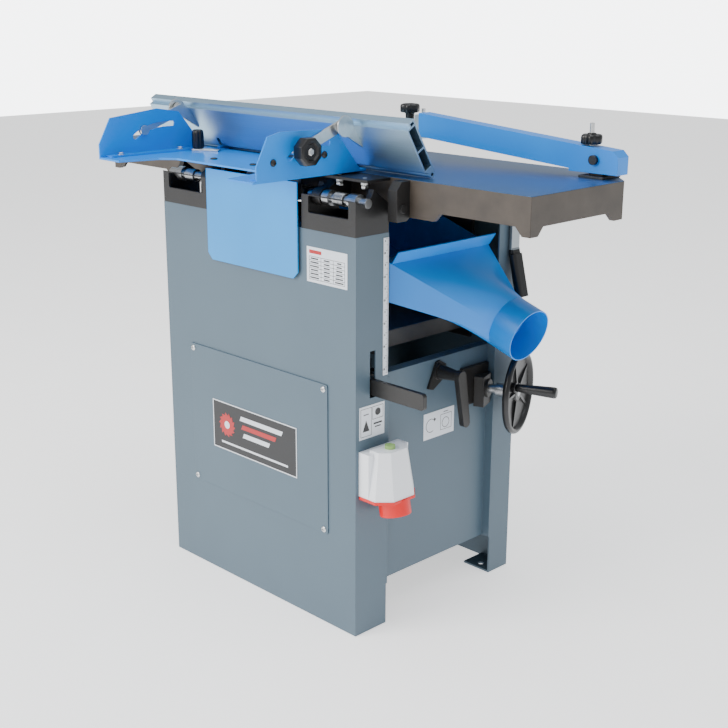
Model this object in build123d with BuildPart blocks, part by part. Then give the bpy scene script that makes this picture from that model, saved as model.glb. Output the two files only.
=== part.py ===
from build123d import *
from math import sin, cos, tan, atan2, radians, hypot
import os

os.makedirs("parts", exist_ok=True)

# ---------------------------------------------------------------- dimensions
# frame: X along the tables (outfeed end at -X), Y to the fence side, Z up, floor at 0
BASE_X, BASE_Y, BASE_H = 260, 210, 714
SHEET = 3
REAR_LEG, FRONT_LEG = 134, -154          # inner edges of the two leg pairs
TABLE_TOP = 804
TABLE_END = 545
TABLE_BACK, TABLE_FRONT = 127, -170
HEAD_Z = 768
HEAD_Y0, HEAD_Y1 = -137, 117
HINGE_Y, HINGE_Z = 186, 767              # table folding axis
BED_Z, BED_X = 525, 205
BED_Y0, BED_Y1 = -135, 115
SCREW_Y = -29.6                          # elevating screw
COLUMN_Y, COLUMN_R = 65, 35
FENCE_X0, FENCE_X1 = -315, 375
FENCE_LEAN = 31
CARRIER_Z = 806
CARRIER_X = 30                           # middle of the fence carrier
BRACKET_HALF = 213
WHEEL_X, WHEEL_Y, WHEEL_Z, WHEEL_R = -327, -151.9, 388, 78
WHEEL_TURN = 20.5
OUTLET_R, OUTLET_TILT = 50, 18
OUTLET_END = (-364, -117, 510)
LEVER_PIVOT = (-10, 442)                  # bed clamp lever, (y, z)
MOTOR_X, MOTOR_Z = 125, 170
MOTOR_PULLEY, HEAD_PULLEY = 35, 27
ROLLER_X, ROLLER_Z, ROLLER_R = 68, 746, 15
GUARD_Y = -120
LEVER_Y = -188

# ---------------------------------------------------------------- base sheet metal
def leg_panel(y_in, y_out, y_skin, y_hole):
    """Channel-shaped side of the base with its two legs, top and foot flanges."""
    with BuildPart() as shell:
        with Locations((0, (y_in + y_out) / 2, BASE_H / 2)):
            Box(2 * BASE_X, abs(y_out - y_in), BASE_H)
        with Locations((0, (y_in + y_skin) / 2, BASE_H / 2 + 0.5)):
            Box(2 * BASE_X - 2 * SHEET, abs(y_skin - y_in) + 0.001, BASE_H - 2 * SHEET - 1,
                mode=Mode.SUBTRACT)
        with Locations((0, (y_in + y_skin) / 2, 4)):
            Box(394, abs(y_skin - y_in) + 0.001, 8, mode=Mode.SUBTRACT)
        with BuildSketch(Plane.XY):
            with Locations((-227, y_hole), (227, y_hole)):
                Circle(6)
        extrude(amount=5, mode=Mode.SUBTRACT)
    return shell.part


with BuildPart() as rear_side_panel:
    add(leg_panel(REAR_LEG, BASE_Y, BASE_Y - SHEET, 170.5))
    with Locations((0, 208.5, 313)):
        Box(360, 8, 252, mode=Mode.SUBTRACT)                 # motor access opening
    with Locations((-258.5, 170.5, 477)):
        Box(8, 13, 82, mode=Mode.SUBTRACT)                   # feed lever slot
    with Locations((0, 188, 712)):
        Box(112, 32, 10, mode=Mode.SUBTRACT)                 # belt slot in the top flange
    with Locations((-258.5, 156, 302)):
        Box(8, 40, 70, mode=Mode.SUBTRACT)                   # power inlet cut-out
    with BuildSketch(Plane.XZ.offset(-208)):
        with Locations((-150, 455)):
            Circle(6)
    extrude(amount=50)                                       # feed lever pivot stud
rear_side_panel.part.label = "rear_side_panel"

with BuildPart() as front_side_panel:
    add(leg_panel(FRONT_LEG, -BASE_Y, -BASE_Y + SHEET, -170.5))
    with BuildSketch(Plane.YZ.offset(-262)):
        with Locations((LEVER_Y, 702)):
            Circle(5.05)
    extrude(amount=10, mode=Mode.SUBTRACT)
    with BuildSketch(Plane.YZ.offset(255)):
        with Locations((LEVER_Y, 702)):
            Circle(5.05)
    extrude(amount=10, mode=Mode.SUBTRACT)
front_side_panel.part.label = "front_side_panel"


def end_panel(side):
    """Recessed end sheet with four folded edges."""
    with BuildPart() as sheet:
        with Locations((side * 240.5, -10, 271)):
            Box(SHEET, 288, 388)
        with Locations((side * 249.5, -152.5, 271), (side * 249.5, 132.5, 271)):
            Box(21, SHEET, 388)
        with Locations((side * 231, -10, 463.5), (side * 231, -10, 78.5)):
            Box(22, 288, SHEET)
    return sheet.part


TURN = radians(WHEEL_TURN)
SHAFT_DIR = (-cos(TURN), -sin(TURN), 0)


def on_shaft(x):
    """Point of the handwheel axis at the given x."""
    return (x, WHEEL_Y + (x - WHEEL_X) * tan(TURN), WHEEL_Z)


def shaft_plane(x):
    return Plane(origin=on_shaft(x), x_dir=(sin(TURN), -cos(TURN), 0), z_dir=SHAFT_DIR)


with BuildPart() as end_panel_outfeed:
    add(end_panel(-1))
    with BuildSketch(shaft_plane(-225)):
        Circle(14)
    extrude(amount=36, mode=Mode.SUBTRACT)
    with BuildSketch(Plane.YZ.offset(-245)):
        with Locations(LEVER_PIVOT):
            Circle(6.05)
    extrude(amount=10, mode=Mode.SUBTRACT)
end_panel_outfeed.part.label = "end_panel_outfeed"

with BuildPart() as end_panel_infeed:
    add(end_panel(1))
end_panel_infeed.part.label = "end_panel_infeed"

with BuildPart() as motor_cover:
    with BuildSketch(Plane.XZ.offset(-BASE_Y)):
        with Locations((-1, 313)):
            RectangleRounded(382, 276, 4)
    extrude(amount=-2)
    with BuildSketch(Plane.XZ.offset(-BASE_Y)):
        with Locations((-182, 442), (182, 442), (-182, 182), (182, 182)):
            Circle(3)
    extrude(amount=-2, mode=Mode.SUBTRACT)
motor_cover.part.label = "motor_cover"

with BuildPart() as cover_screws:
    with BuildSketch(Plane.XZ.offset(-BASE_Y - 2)):
        with Locations((-182, 442), (182, 442), (-182, 182), (182, 182)):
            Circle(5.5)
    extrude(amount=-2.6)
    with BuildSketch(Plane.XZ.offset(-BASE_Y)):
        with Locations((-182, 442), (182, 442), (-182, 182), (182, 182)):
            Circle(3)
    extrude(amount=-2.2)
cover_screws.part.label = "cover_screws"

with BuildPart() as label_plates:
    with Locations((7, BASE_Y + 2.4, 306)):
        Box(239, 0.8, 95)
    with Locations((-191, BASE_Y + 0.4, 655)):
        Box(98, 0.8, 60)
    with Locations((-BASE_X - 0.4, 172, 395)):
        Box(0.8, 60, 58)
    with Locations((-242.4, -19, 340)):
        Box(0.8, 82, 50)
label_plates.part.label = "label_plates"

with BuildPart() as thickness_scale:
    with Locations((-BASE_X - 0.5, 141, 588)):
        Box(1, 12, 236)
    for i in range(23):
        with Locations((-BASE_X - 1, 143.5 if i % 5 else 142, 696 - 10 * i)):
            Box(0.4, 5 if i % 5 else 8, 1)
thickness_scale.part.label = "thickness_scale"

# ---------------------------------------------------------------- hinge castings
def hinge_casting(x0, x1):
    """Bearing block of one table hinge: two cheeks, rear wall and foot."""
    with BuildPart() as casting:
        with BuildSketch(Plane.YZ.offset(x0)):
            with BuildLine():
                Polyline((135, 714), (211, 714), (211, 772))
                RadiusArc((211, 772), (170, 788), 26)
                Polyline((170, 788), (135, 762), (135, 714))
            make_face()
        extrude(amount=x1 - x0)
        with Locations(((x0 + x1) / 2, 168, 752)):
            Box(x1 - x0 - 24, 76, 60, mode=Mode.SUBTRACT)
        with Locations(((x0 + x1) / 2, 172, 794)):
            Box(x1 - x0 - 24, 100, 36, mode=Mode.SUBTRACT)
        with BuildSketch(Plane.XZ.offset(-214)):
            with Locations(((x0 + x1) / 2, 756)):
                RectangleRounded(x1 - x0 - 34, 28, 3)
        extrude(amount=20, mode=Mode.SUBTRACT)
        with BuildSketch(Plane.YZ.offset(x0 - 1)):
            with Locations((HINGE_Y, HINGE_Z)):
                Circle(8.02)
        extrude(amount=x1 - x0 + 2, mode=Mode.SUBTRACT)
    return casting.part


with BuildPart() as hinge_castings:
    add(hinge_casting(-260, -130))
    add(hinge_casting(122, 258))
hinge_castings.part.label = "hinge_castings"

with BuildPart() as hinge_rods:
    for start, length in ((-264, 138), (118, 144)):
        with BuildSketch(Plane.YZ.offset(start)):
            with Locations((HINGE_Y, HINGE_Z)):
                Circle(8)
        extrude(amount=length)
    for start, length in ((-180, 15), (-245, 20), (220, 15)):
        with BuildSketch(Plane.YZ.offset(start)):
            with Locations((HINGE_Y, HINGE_Z)):
                Circle(13)
        extrude(amount=length)
hinge_rods.part.label = "hinge_rods"

with BuildPart() as torsion_springs:
    for start in (-215, 185):
        with Locations(*[(start + 2 + 3.4 * i, HINGE_Y, HINGE_Z) for i in range(8)]):
            Torus(10.2, 1.9, rotation=(0, 90, 0))
        with Locations((start + 2, HINGE_Y - 10.2, HINGE_Z - 20)):
            Cylinder(1.8, 40)
torsion_springs.part.label = "torsion_springs"

with BuildPart() as rear_guard_flap:
    with BuildSketch(Plane.XZ.offset(-214)):
        with BuildLine():
            Polyline((-125, 790), (120, 790), (120, 637), (108, 625), (-113, 625),
                     (-125, 637), (-125, 790))
        make_face()
    extrude(amount=-2.5)
    with Locations((-105, 212, 645), (100, 212, 645)):
        Cylinder(6, 4, rotation=(90, 0, 0))
rear_guard_flap.part.label = "rear_guard_flap"

# ---------------------------------------------------------------- inner frame
with BuildPart() as side_frames:
    for y in (131, -151):
        with BuildSketch(Plane.XZ.offset(-y)):
            with BuildLine():
                Polyline((-200, 470), (200, 470), (200, 738), (88, 738), (84, 762), (52, 762),
                         (48, 738), (-48, 738), (-52, 762), (-84, 762), (-88, 738),
                         (-200, 738), (-200, 470))
            make_face()
            with Locations((-ROLLER_X, ROLLER_Z), (ROLLER_X, ROLLER_Z)):
                Circle(8.05, mode=Mode.SUBTRACT)
        extrude(amount=3, both=True)
side_frames.part.label = "side_frames"

with BuildPart() as bearing_housings:
    for y0, y1 in ((142, 172), (-204, -176)):
        with BuildSketch(Plane.XZ.offset(-y1)):
            with Locations((0, 730)):
                Rectangle(84, 32)
            with Locations((0, 750)):
                Rectangle(48, 36)
            with Locations((0, HEAD_Z)):
                Circle(24)
                Circle(15.05, mode=Mode.SUBTRACT)
        extrude(amount=y1 - y0)
bearing_housings.part.label = "bearing_housings"

with BuildPart() as shaft_housings:
    with Locations((0, SCREW_Y, 388)):
        Box(56, 58, 44)
    with Locations((0, SCREW_Y, 353)):
        Box(40, 50, 26)
    with Locations((0, SCREW_Y, 388)):
        Cylinder(21, 32, mode=Mode.SUBTRACT)
    with Locations((0, SCREW_Y, 407)):
        Cylinder(9.55, 8, mode=Mode.SUBTRACT)
    with Locations((-246, -110, 396)):
        Box(8, 72, 72)
    with BuildSketch(shaft_plane(-245)):
        with Locations((0, -4)):
            Rectangle(38, 58)
    extrude(amount=20)
    with BuildSketch(shaft_plane(-240)):
        Circle(17)
    extrude(amount=30)
    with BuildSketch(Plane.YZ.offset(-247)):
        with BuildLine():
            Polyline((16, 413), (3, 409), (-32, 430), (-30, 452), (-14, 461), (-6, 459), (16, 413))
        make_face()
    extrude(amount=5)
    with BuildSketch(Plane.YZ.offset(-247)):
        with Locations(LEVER_PIVOT):
            Circle(15)
    extrude(amount=-6)
    with BuildSketch(Plane.YZ.offset(-255)):
        with Locations(LEVER_PIVOT):
            Circle(7)
    extrude(amount=15, mode=Mode.SUBTRACT)
    with Locations((-233.5, -95, 403.5)):
        Box(17, 150, 100, mode=Mode.SUBTRACT)
    with BuildSketch(shaft_plane(-2)):
        Circle(8.05)
    extrude(amount=340, mode=Mode.SUBTRACT)
shaft_housings.part.label = "shaft_housings"

with BuildPart() as column_guide:
    with Locations((0, 0, 331)):
        Box(84, 414, 18)
    with Locations((0, COLUMN_Y, 381)):
        Cylinder(43, 118)
    with Locations((0, COLUMN_Y, 380)):
        Cylinder(COLUMN_R + 0.05, 130, mode=Mode.SUBTRACT)
column_guide.part.label = "column_guide"

# ---------------------------------------------------------------- motor and belt
with BuildPart() as motor_body:
    with BuildSketch(Plane.XZ.offset(-150)):
        with Locations((MOTOR_X, MOTOR_Z)):
            Circle(60)
            with PolarLocations(60, 24):
                Rectangle(8, 3)
    extrude(amount=170)
    with BuildSketch(Plane.XZ.offset(-156)):
        with Locations((MOTOR_X, MOTOR_Z)):
            RectangleRounded(142, 142, 8)
    extrude(amount=6)
    with Locations((MOTOR_X, -30, MOTOR_Z)):
        Cylinder(56, 34, rotation=(90, 0, 0))
    with Locations((62, 181.5, 107), (188, 181.5, 107), (188, 181.5, 233)):
        Cylinder(5, 51, rotation=(90, 0, 0))
    with Locations((MOTOR_X, 140, MOTOR_Z)):
        Cylinder(9.05, 60, rotation=(90, 0, 0), mode=Mode.SUBTRACT)
motor_body.part.label = "motor_body"

with BuildPart() as drive_belt:
    with BuildSketch(Plane.XZ.offset(-198)):
        with Locations((MOTOR_X, MOTOR_Z)):
            Circle(MOTOR_PULLEY + 3.55)
        with Locations((0, HEAD_Z)):
            Circle(HEAD_PULLEY + 3.55)
        make_hull()
    extrude(amount=14)
    with BuildSketch(Plane.XZ.offset(-199)):
        with Locations((MOTOR_X, MOTOR_Z)):
            Circle(MOTOR_PULLEY + 0.05)
        with Locations((0, HEAD_Z)):
            Circle(HEAD_PULLEY + 0.05)
        make_hull()
    extrude(amount=16, mode=Mode.SUBTRACT)
drive_belt.part.label = "drive_belt"


def pulley(x, z, radius, shaft_r, shaft_y0):
    """Flat belt pulley with two rims on a round shaft along Y."""
    with BuildPart() as wheel:
        with Locations((x, 191, z)):
            Cylinder(radius, 20, rotation=(90, 0, 0))
        with Locations((x, 182, z), (x, 200, z)):
            Cylinder(radius + 5, 2, rotation=(90, 0, 0))
        with Locations((x, 190, z)):
            Cylinder(radius - 7, 30, rotation=(90, 0, 0), mode=Mode.SUBTRACT)
        with Locations((x, 188, z)):
            Cylinder(radius - 6, 6, rotation=(90, 0, 0))
        with Locations((x, (shaft_y0 + 203) / 2, z)):
            Cylinder(shaft_r, 203 - shaft_y0, rotation=(90, 0, 0))
    return wheel.part


with BuildPart() as motor_rotor:
    add(pulley(MOTOR_X, MOTOR_Z, MOTOR_PULLEY, 9, 120))
motor_rotor.part.label = "motor_rotor"

# ---------------------------------------------------------------- power inlet
with BuildPart() as inlet_housing:
    with BuildSketch(Plane.XY.offset(266)):
        with BuildLine():
            Polyline((-260, 107), (-260, 203), (-300, 203), (-322, 180), (-322, 130),
                     (-300, 107), (-260, 107))
        make_face()
    extrude(amount=84, taper=9)
    with Locations((-272, 155, 306)):
        Box(24, 96, 80)
    with Locations((-265, 155, 305)):
        Box(10, 92, 78)
inlet_housing.part.label = "inlet_housing"

with BuildPart() as inlet_shroud:
    with BuildSketch(Plane.XY.offset(266)):
        with BuildLine():
            Polyline((-262, 106), (-262, 204), (-301, 204), (-323, 181), (-323, 129),
                     (-301, 106), (-262, 106))
        make_face()
    extrude(amount=-5)
    with BuildSketch(Plane((-297, 155, 260), z_dir=(-0.2, 0, -1))):
        Circle(27.5)
    extrude(amount=28)
    with BuildSketch(Plane((-297, 155, 260), z_dir=(-0.2, 0, -1)).offset(4)):
        Circle(24)
    extrude(amount=30, mode=Mode.SUBTRACT)
    with BuildSketch(Plane((-297, 155, 260), z_dir=(-0.2, 0, -1)).offset(3)):
        with PolarLocations(12, 5):
            Circle(2.4)
    extrude(amount=20)
inlet_shroud.part.label = "inlet_shroud"

with BuildPart() as inlet_cap:
    with Locations((-290, 158, 353)):
        Cylinder(9, 6)
inlet_cap.part.label = "inlet_cap"


# ---------------------------------------------------------------- tables
def table(side):
    """Cast table: thick plate, deep skirts, chamfered outer corner, ribs."""
    end, lip = side * TABLE_END, side * 24
    mid_y, width = (TABLE_BACK + TABLE_FRONT) / 2, TABLE_BACK - TABLE_FRONT
    with BuildPart() as cast:
        with BuildSketch(Plane.XY.offset(742)):
            with BuildLine():
                Polyline((side * 36, TABLE_BACK), (end, TABLE_BACK), (end, TABLE_FRONT + 58),
                         (end - side * 60, TABLE_FRONT), (side * 36, TABLE_FRONT),
                         (side * 36, TABLE_BACK))
            make_face()
        extrude(amount=TABLE_TOP - 742)
        with BuildSketch(Plane.XY.offset(741)):
            with BuildLine():
                Polyline((side * 20, TABLE_BACK - 9), (end - side * 9, TABLE_BACK - 9),
                         (end - side * 9, TABLE_FRONT + 62), (end - side * 64, TABLE_FRONT + 9),
                         (side * 20, TABLE_FRONT + 9), (side * 20, TABLE_BACK - 9))
            make_face()
        extrude(amount=TABLE_TOP - 10 - 741, mode=Mode.SUBTRACT)
        with BuildSketch(Plane.XZ.offset(-TABLE_BACK)):
            with BuildLine():
                Polyline((side * 60, TABLE_TOP), (lip, TABLE_TOP), (lip, TABLE_TOP - 3),
                         (side * 36, 789), (side * 60, 789), (side * 60, TABLE_TOP))
            make_face()
        extrude(amount=width)
        for x in (150, 260, 370, 470):
            with Locations((side * x, mid_y, 785)):
                Box(7, width - 16, 20)
        with Locations((side * 300, mid_y, 785)):
            Box(470, 7, 20)
        with BuildSketch(Plane.YZ.offset(end - side * 12)):
            with BuildLine():
                Polyline((109, 741), (96, 756), (-74, 756), (-90, 741), (109, 741))
            make_face()
        extrude(amount=side * 20, mode=Mode.SUBTRACT)
        for y in (TABLE_BACK - 12, TABLE_FRONT - 3):
            with BuildSketch(Plane.XZ.offset(-y)):
                with BuildLine():
                    Polyline((side * 530, 741), (side * 516, 756), (side * 364, 756),
                             (side * 350, 741), (side * 530, 741))
                make_face()
            extrude(amount=-15, mode=Mode.SUBTRACT)
        with Locations((side * 60, mid_y, 752)):
            Box(84, width + 10, 34, mode=Mode.SUBTRACT)
    return cast.part


with BuildPart() as outfeed_table:
    add(table(-1))
outfeed_table.part.label = "outfeed_table"

with BuildPart() as infeed_table:
    add(table(1))
infeed_table.part.label = "infeed_table"


def hinge_arm(x_mid, web_x):
    """Saddle plate behind the table with a web and boss around the hinge rod."""
    with BuildPart() as arm:
        with Locations((x_mid, 153.5, 800.5)):
            Box(100, 53, 5)
        with BuildSketch(Plane.YZ.offset(web_x)):
            with BuildLine():
                Polyline((127, 745), (127, 799), (150, 799), (180, 780), (176, 756),
                         (127, 745))
            make_face()
            with Locations((HINGE_Y, HINGE_Z)):
                Circle(15)
                Circle(8.05, mode=Mode.SUBTRACT)
        extrude(amount=20)
        for x in (x_mid - 29, x_mid + 30):
            with Locations((x, 165, 800)):
                Cylinder(4, 10, mode=Mode.SUBTRACT)
    return arm.part


def stop_screws(x_mid):
    """Two stop screws with stacked hexagon nuts."""
    with BuildPart() as screws:
        for x in (x_mid - 29, x_mid + 30):
            with Locations((x, 165, 795)):
                Cylinder(3.9, 19)
            with BuildSketch(Plane.XY.offset(791)):
                with Locations((x, 165)):
                    RegularPolygon(6.5, 6)
            extrude(amount=7)
            with BuildSketch(Plane.XY.offset(785.5)):
                with Locations((x, 165)):
                    RegularPolygon(6.4, 6, rotation=20)
            extrude(amount=5.5)
    return screws.part


with BuildPart() as outfeed_hinge_arms:
    add(hinge_arm(-205, -163.5))
    with BuildSketch(Plane.YZ.offset(-299)):
        with BuildLine():
            Polyline((127, 742), (127, 802), (146, 802), (157, 788), (157, 737), (134, 737),
                     (127, 742))
        make_face()
    extrude(amount=20)
    with Locations((-300, 143, 758)):
        Cylinder(7, 4, rotation=(0, 90, 0))
outfeed_hinge_arms.part.label = "outfeed_hinge_arms"

with BuildPart() as infeed_hinge_arms:
    add(hinge_arm(200, 136))
infeed_hinge_arms.part.label = "infeed_hinge_arms"

with BuildPart() as outfeed_stop_screws:
    add(stop_screws(-205))
outfeed_stop_screws.part.label = "outfeed_stop_screws"

with BuildPart() as infeed_stop_screws:
    add(stop_screws(200))
infeed_stop_screws.part.label = "infeed_stop_screws"

# ---------------------------------------------------------------- bridge guard
with BuildPart() as guard_post:
    with Locations((-491, GUARD_Y, 805.75)):
        Box(48, 50, 3.5)
    with Locations((-490, GUARD_Y, 823)):
        Box(26, 18, 34)
    with Locations((-490, GUARD_Y, 833)):
        Cylinder(4, 36, rotation=(90, 0, 0))
        Cylinder(8, 0.1, rotation=(90, 0, 0))
    for y in (GUARD_Y - 19, GUARD_Y + 19):
        with Locations((-490, y, 833)):
            Cylinder(8, 5, rotation=(90, 0, 0))
guard_post.part.label = "guard_post"

with BuildPart() as guard_beam:
    with BuildSketch(Plane.XZ.offset(-GUARD_Y + 0)):
        with BuildLine():
            Polyline((-535, 812), (-535, 840), (-525, 849.5), (-100, 882), (-100, 840),
                     (-440, 815), (-440, 811), (-535, 811), (-535, 812))
        make_face()
    extrude(amount=15, both=True)
    with BuildSketch(Plane.XZ.offset(-GUARD_Y + 0)):
        with BuildLine():
            Polyline((-533, 800), (-533, 838), (-524, 847), (-90, 880), (-90, 800),
                     (-533, 800))
        make_face()
    extrude(amount=13, both=True, mode=Mode.SUBTRACT)
    with Locations((-490, GUARD_Y, 833)):
        Cylinder(4.1, 40, rotation=(90, 0, 0), mode=Mode.SUBTRACT)
    with Locations((-472, GUARD_Y, 850)):
        Cylinder(4.1, 20, mode=Mode.SUBTRACT)
guard_beam.part.label = "guard_beam"

with BuildPart() as guard_end_plate:
    with Locations((-100, GUARD_Y, 861)):
        Box(24, 26, 34)
    with Locations((-79, GUARD_Y, 845)):
        Box(46, 26, 5)
    with Locations((-64, GUARD_Y, 845)):
        Cylinder(4.05, 10, mode=Mode.SUBTRACT)
    with Locations((-90, GUARD_Y - 9, 880)):
        Box(4, 6, 16)
guard_end_plate.part.label = "guard_end_plate"


def star_knob(x, y, z_low, z_cap, z_high, lobes, radius):
    """Lobed clamping knob on a plain stud."""
    with BuildPart() as knob:
        with BuildSketch(Plane.XY.offset(z_cap)):
            with Locations((x, y)):
                Circle(radius * 0.8)
            with Locations((x, y)):
                with PolarLocations(radius * 0.72, lobes):
                    Circle(radius * 0.28)
        extrude(amount=z_high - z_cap)
        with Locations((x, y, (z_low + z_cap) / 2 + 1)):
            Cylinder(4, z_cap - z_low + 2)
    return knob.part


with BuildPart() as guard_height_knob:
    add(star_knob(-472, GUARD_Y, 842, 856, 872, 6, 19))
    with Locations((-472, GUARD_Y, 880)):
        Cylinder(4, 20)
guard_height_knob.part.label = "guard_height_knob"

with BuildPart() as guard_clamp_knob:
    add(star_knob(-64, GUARD_Y, 842.8, 880, 896, 6, 19))
    with Locations((-64, GUARD_Y, 871)):
        Cylinder(9, 19)
guard_clamp_knob.part.label = "guard_clamp_knob"

with BuildPart() as guard_slat:
    with BuildSketch(Plane.XZ.offset(190)):
        with BuildLine():
            Polyline((-84, 842), (40, 842), (56, 832), (56, 826), (52, 826), (38, 836),
                     (-80, 836), (-84, 832), (-84, 842))
        make_face()
    extrude(amount=-245)
guard_slat.part.label = "guard_slat"

# ---------------------------------------------------------------- fence carrier
HALF = BRACKET_HALF
KNOB_X, KNOB_Y = 204, 168
with BuildPart() as fence_carrier:
    with BuildSketch(Plane.XY.offset(CARRIER_Z)):
        with BuildLine():
            Polyline((CARRIER_X - HALF, 112.5), (CARRIER_X + HALF, 112.5),
                     (CARRIER_X + HALF, 358),
                     (CARRIER_X + HALF - 62, 358), (CARRIER_X + HALF - 78, 285),
                     (CARRIER_X + HALF - 100, 263), (CARRIER_X - HALF + 100, 263),
                     (CARRIER_X - HALF + 78, 285), (CARRIER_X - HALF + 62, 358),
                     (CARRIER_X - HALF, 358), (CARRIER_X - HALF, 112.5))
        make_face()
    extrude(amount=3.5)
    for x in (-105, 165):
        with Locations((x, 119.5, 806.65)):
            Box(70, 13, 4.7)
    with Locations((KNOB_X, KNOB_Y, 807)):
        Cylinder(4.05, 20, mode=Mode.SUBTRACT)
    for x in (-146, 207):
        with BuildSketch(Plane.YZ.offset(x - 3)):
            with Locations((92, 810.4)):
                Circle(5.6)
            with Locations((116, 807)):
                Circle(2)
            with Locations((116, 812)):
                Circle(2)
            make_hull()
        extrude(amount=6)
        with Locations((x, 92, 810.4)):
            Cylinder(3, 40, rotation=(0, 90, 0))
fence_carrier.part.label = "fence_carrier"

PIVOT_Y, PIVOT_Z = 92, 810.4
LUG_Y, LUG_Z = 174, 884
PIN_Y, PIN_Z = 262, 851
LINK_RATIO = -1.535


def pin_path(angle):
    """Clamp pin position when the fence has tilted by the given angle."""
    a = radians(angle)
    arm = hypot(LUG_Y - PIVOT_Y, LUG_Z - PIVOT_Z)
    at = atan2(LUG_Z - PIVOT_Z, LUG_Y - PIVOT_Y) + a
    link = hypot(PIN_Y - LUG_Y, PIN_Z - LUG_Z)
    bt = atan2(PIN_Z - LUG_Z, PIN_Y - LUG_Y) + a * (1 + LINK_RATIO)
    return (PIVOT_Y + arm * cos(at) + link * cos(bt), PIVOT_Z + arm * sin(at) + link * sin(bt))


def carrier_bracket(x, outline, flange_x):
    """Upright side bracket with a guide slot and a folded foot."""
    with BuildPart() as bracket:
        with BuildSketch(Plane.YZ.offset(x - 1.5)):
            with BuildLine():
                Polyline(*outline, outline[0])
            make_face()
        extrude(amount=3)
        with BuildSketch(Plane.YZ.offset(x - 2)):
            with BuildLine():
                Spline(*[pin_path(t) for t in (-16, -8, 0, 8, 16, 24, 33)])
            trace(line_width=9.4)
            with Locations(pin_path(-14.4), pin_path(31.4)):
                Circle(4.8)
        extrude(amount=4, mode=Mode.SUBTRACT)
        with Locations((flange_x, 255, 811)):
            Box(20, 180, 3)
    return bracket.part


with BuildPart() as carrier_brackets:
    add(carrier_bracket(CARRIER_X - HALF + 1.5,
                        ((126, 809.5), (350, 809.5), (350, 832), (326, 877), (299, 883),
                         (183, 880)), CARRIER_X - HALF + 12))
    add(carrier_bracket(CARRIER_X + HALF - 1.5,
                        ((140, 809.5), (358, 809.5), (358, 832), (333, 877), (231, 888),
                         (183, 880), (155, 845)), CARRIER_X + HALF - 12))
carrier_brackets.part.label = "carrier_brackets"

with BuildPart() as carrier_bolts:
    for x in (CARRIER_X - HALF + 12, CARRIER_X + HALF - 12):
        with Locations((x, 190, 814.5), (x, 320, 814.5)):
            Cylinder(6.5, 4)
    for x in (CARRIER_X - HALF - 2, CARRIER_X + HALF + 2):
        with Locations((x, 316, 836), (x, 207, 840)):
            Cylinder(6, 4, rotation=(0, 90, 0))
    with Locations((-24, 225, 811), (84, 225, 811)):
        Cylinder(6.5, 3)
    with Locations(Location((KNOB_X - 14, KNOB_Y - 8, 811.25), (0, 0, 30))):
        Box(52, 17, 3.5)
    with Locations((KNOB_X, KNOB_Y, 811)):
        Cylinder(4.05, 12, mode=Mode.SUBTRACT)
carrier_bolts.part.label = "carrier_bolts"

with BuildPart() as carrier_clamp_knob:
    add(star_knob(KNOB_X, KNOB_Y, 804.6, 813.6, 848, 8, 11.5))
carrier_clamp_knob.part.label = "carrier_clamp_knob"

# ---------------------------------------------------------------- fence
LEAN = radians(FENCE_LEAN)


def fence_point(up, back):
    """Point of the leaning fence section in the YZ plane."""
    return (80 + up * sin(LEAN) + back * cos(LEAN), 806 + up * cos(LEAN) - back * sin(LEAN))


def quad(u0, u1, v0, v1):
    return (fence_point(u0, v0), fence_point(u1, v0), fence_point(u1, v1), fence_point(u0, v1),
            fence_point(u0, v0))


with BuildPart() as fence_profile:
    with BuildSketch(Plane.YZ.offset(FENCE_X0)):
        with BuildLine():
            Polyline(fence_point(11, 0), fence_point(112, 0), fence_point(112, 14),
                     fence_point(104, 14), fence_point(104, 22), fence_point(23, 22),
                     fence_point(16, 14), fence_point(12, 12), fence_point(11, 0))
        make_face()
        with Locations((PIVOT_Y, PIVOT_Z)):
            Circle(5.8)
        with BuildLine():
            Polyline(*quad(24, 58, 3, 19))
        make_face(mode=Mode.SUBTRACT)
        with BuildLine():
            Polyline(*quad(61, 101, 3, 19))
        make_face(mode=Mode.SUBTRACT)
        with BuildLine():
            Polyline(*quad(104, 109, 3, 11))
        make_face(mode=Mode.SUBTRACT)
        with Locations((PIVOT_Y, PIVOT_Z)):
            Circle(3.05, mode=Mode.SUBTRACT)
    extrude(amount=FENCE_X1 - FENCE_X0)
    for x in (-146, 207):
        with Locations((x, 100, 812)):
            Box(9, 46, 34, mode=Mode.SUBTRACT)
fence_profile.part.label = "fence_profile"

with BuildPart() as fence_lugs:
    for x in (CARRIER_X - HALF - 11, CARRIER_X + HALF + 5.5):
        with BuildSketch(Plane.YZ.offset(x)):
            with BuildLine():
                Polyline(fence_point(60, 22), fence_point(104, 22), fence_point(110, 26),
                         (LUG_Y - 4, LUG_Z + 10), (LUG_Y + 6, LUG_Z - 9), fence_point(60, 22))
            make_face()
            with Locations((LUG_Y, LUG_Z)):
                Circle(11)
                Circle(4.05, mode=Mode.SUBTRACT)
        extrude(amount=5.5)
fence_lugs.part.label = "fence_lugs"

with BuildPart() as tilt_links:
    for x, out in ((CARRIER_X - HALF - 5, -1), (CARRIER_X + HALF + 0.5, 1)):
        with BuildSketch(Plane.YZ.offset(x)):
            with Locations((LUG_Y, LUG_Z), (PIN_Y, PIN_Z)):
                Circle(9)
            make_hull()
        extrude(amount=4.5)
        with Locations((x + 2.25 + out * 6, LUG_Y, LUG_Z)):
            Cylinder(4, 16, rotation=(0, 90, 0))
        with Locations((x + 2.25 - out * 4, PIN_Y, PIN_Z)):
            Cylinder(4, 12, rotation=(0, 90, 0))
        with Locations((x + 2.25 - out * 8.55, PIN_Y, PIN_Z)):
            Cylinder(9, 3, rotation=(0, 90, 0))
tilt_links.part.label = "tilt_links"

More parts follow.
